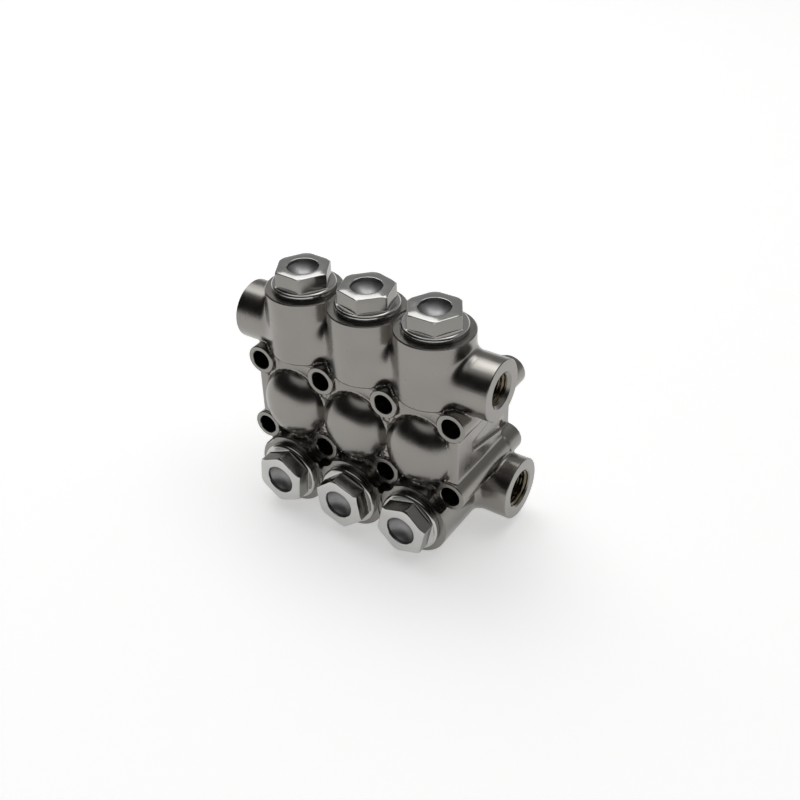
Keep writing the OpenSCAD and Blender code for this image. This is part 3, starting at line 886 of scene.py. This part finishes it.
def build_spring(kind, number):
    """A coil between its poppet and its cage."""
    count, per_turn = 10, 28
    around = np.arange(count) * 2 * np.pi / count
    r = SPRING_COIL_R + SPRING_WIRE_R * np.cos(around)
    low, high = SPRING_PLAY + SPRING_WIRE_R, SPRING_LENGTH - SPRING_PLAY - SPRING_WIRE_R
    rings, centres = [], []
    for turned in np.arange(SPRING_TURNS * per_turn + 1) / per_turn:
        climb = np.clip((turned - SPRING_CLOSED) / (SPRING_TURNS - 2 * SPRING_CLOSED), 0, 1)
        height = low + (high - low) * climb
        facing = np.array([math.cos(2 * math.pi * turned), math.sin(2 * math.pi * turned)])
        rings.append(np.column_stack([r[:, None] * facing, height - SPRING_WIRE_R * np.sin(around)]))
        centres.append([*(SPRING_COIL_R * facing), height])
    points = np.vstack(rings + [[centres[0], centres[-1]]])
    spring = mesh_object(f"{kind}_spring_{number}_coil", points, stack_faces(len(rings), count))
    x = CYLINDER_X[number - 1]
    if kind == "discharge":
        anchor, turn = Vector((x, TOWER_Y, TOWER_TOP - SPRING_END)) * MM, ALONG_Z
    else:
        anchor, turn = Vector((x, BARREL_FRONT + SPRING_END, BARREL_Z)) * MM, ALONG_FRONT
    axis = turn.to_matrix() @ Vector((0, 0, 1))
    put(spring, anchor - axis * SPRING_LENGTH * MM, turn)
    spring.data.materials.append(spring_steel)
    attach(spring, "head")
    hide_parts(f"{kind}_spring_{number}")
    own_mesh(spring)


for kind in HEX_TURNS:
    for number in NUMBERS:
        build_spring(kind, number)


# ---------------------------------------------------------------- camera and stage

CAMERA_AZIMUTH = math.radians(35.63)
CAMERA_ELEVATION = math.radians(35.43)
CAMERA_ROLL = math.radians(-2.436)
CAMERA_DISTANCE = 0.5825
CAMERA_LENS = 48.73
CAMERA_SHIFT = 0.0359
CAMERA_TARGET = Vector((0, TOWER_Y, 6.36)) * MM

away = Vector((math.sin(CAMERA_AZIMUTH) * math.cos(CAMERA_ELEVATION),
               -math.cos(CAMERA_AZIMUTH) * math.cos(CAMERA_ELEVATION),
               math.sin(CAMERA_ELEVATION)))
camera_data = bpy.data.cameras.new("camera")
camera_data.lens = CAMERA_LENS
camera_data.sensor_width = 36
camera_data.shift_x = CAMERA_SHIFT
camera_data.clip_start = 0.01
camera = bpy.data.objects.new("camera", camera_data)
bpy.context.scene.collection.objects.link(camera)
look = away.to_track_quat("Z", "Y").to_matrix().to_4x4()
camera.matrix_world = Matrix.Translation(CAMERA_TARGET + away * CAMERA_DISTANCE) @ look \
    @ Matrix.Rotation(CAMERA_ROLL, 4, "Z")
bpy.context.scene.camera = camera

bpy.context.scene.view_settings.view_transform = "Standard"


FLOOR_GLOW = 0.46
FLOOR_HALF = 3000
FLOOR_THICKNESS = 10

# Brightness of the studio by the height of the direction, 0 at the horizon and 1 overhead
FRONT_LIGHT = [(0.0, 0.6), (0.10, 0.20), (0.24, 0.015), (0.77, 0.02), (0.88, 0.6)]
BACK_LIGHT = [(0.0, 0.6), (0.3, 0.28), (0.77, 0.32), (0.84, 1.9)]
FRONT_TO_BACK = [(0.48, 0.0), (0.60, 1.0)]


def build_floor():
    """Pale paper, whose glow is seen directly and in the metal but lights nothing else."""
    floor = box_object("floor", (-FLOOR_HALF, -FLOOR_HALF, BODY_LOW[2] - FLOOR_THICKNESS),
                       (FLOOR_HALF, FLOOR_HALF, BODY_LOW[2]))
    material, tree, shader = new_material("floor_paper")
    coordinates = tree.nodes.new("ShaderNodeTexCoord")
    fibre = noise(tree, coordinates, 400, 4)
    tint = ramp(tree, fibre, "Fac", [(0.3, (0.80, 0.80, 0.795)), (0.7, (0.82, 0.82, 0.815))])
    link(tree, tint, "Color", shader, "Base Color")
    shader.inputs["Roughness"].default_value = 0.8
    glow = tree.nodes.new("ShaderNodeEmission")
    add = tree.nodes.new("ShaderNodeAddShader")
    seen = tree.nodes.new("ShaderNodeLightPath")
    sight = tree.nodes.new("ShaderNodeMath")
    sight.operation = "MAXIMUM"
    tree.links.new(seen.outputs["Is Camera Ray"], sight.inputs[0])
    tree.links.new(seen.outputs["Is Glossy Ray"], sight.inputs[1])
    level = tree.nodes.new("ShaderNodeMath")
    level.operation = "MULTIPLY"
    level.inputs[1].default_value = FLOOR_GLOW
    tree.links.new(sight.outputs[0], level.inputs[0])
    tree.links.new(level.outputs[0], glow.inputs["Strength"])
    tree.links.new(shader.outputs["BSDF"], add.inputs[0])
    tree.links.new(glow.outputs["Emission"], add.inputs[1])
    tree.links.new(add.outputs["Shader"], tree.nodes["Material Output"].inputs["Surface"])
    floor.data.materials.append(material)


def build_world():
    """A plain studio: dark in front, grey behind and soft light overhead."""
    world = bpy.data.worlds.new("world")
    bpy.context.scene.world = world
    world.use_nodes = True
    tree = world.node_tree
    coordinates = tree.nodes.new("ShaderNodeTexCoord")
    split = tree.nodes.new("ShaderNodeSeparateXYZ")
    link(tree, coordinates, "Generated", split, "Vector")
    depth = tree.nodes.new("ShaderNodeMapRange")
    depth.inputs["From Min"].default_value = -1
    link(tree, split, "Y", depth, "Value")
    front = ramp(tree, split, "Z", FRONT_LIGHT)
    back = ramp(tree, split, "Z", BACK_LIGHT)
    share = ramp(tree, depth, "Result", FRONT_TO_BACK)
    mix = tree.nodes.new("ShaderNodeMix")
    mix.data_type = "RGBA"
    tree.links.new(share.outputs["Color"], mix.inputs[0])
    first, second = (socket for socket in mix.inputs if socket.type == "RGBA")
    tree.links.new(front.outputs["Color"], first)
    tree.links.new(back.outputs["Color"], second)
    result = next(socket for socket in mix.outputs if socket.type == "RGBA")
    tree.links.new(result, tree.nodes["Background"].inputs["Color"])


def soft_box(name, place, size, watts):
    """A square lamp that faces the object."""
    lamp = bpy.data.lights.new(name, "AREA")
    lamp.shape = "SQUARE"
    lamp.size = size
    lamp.energy = watts
    obj = bpy.data.objects.new(name, lamp)
    bpy.context.scene.collection.objects.link(obj)
    obj.location = place
    obj.rotation_euler = (Vector(place) - CAMERA_TARGET).to_track_quat("Z", "Y").to_euler()


build_floor()
build_world()
soft_box("overhead_box", place=(-0.72, 0.40, 1.38), size=1.2, watts=6)
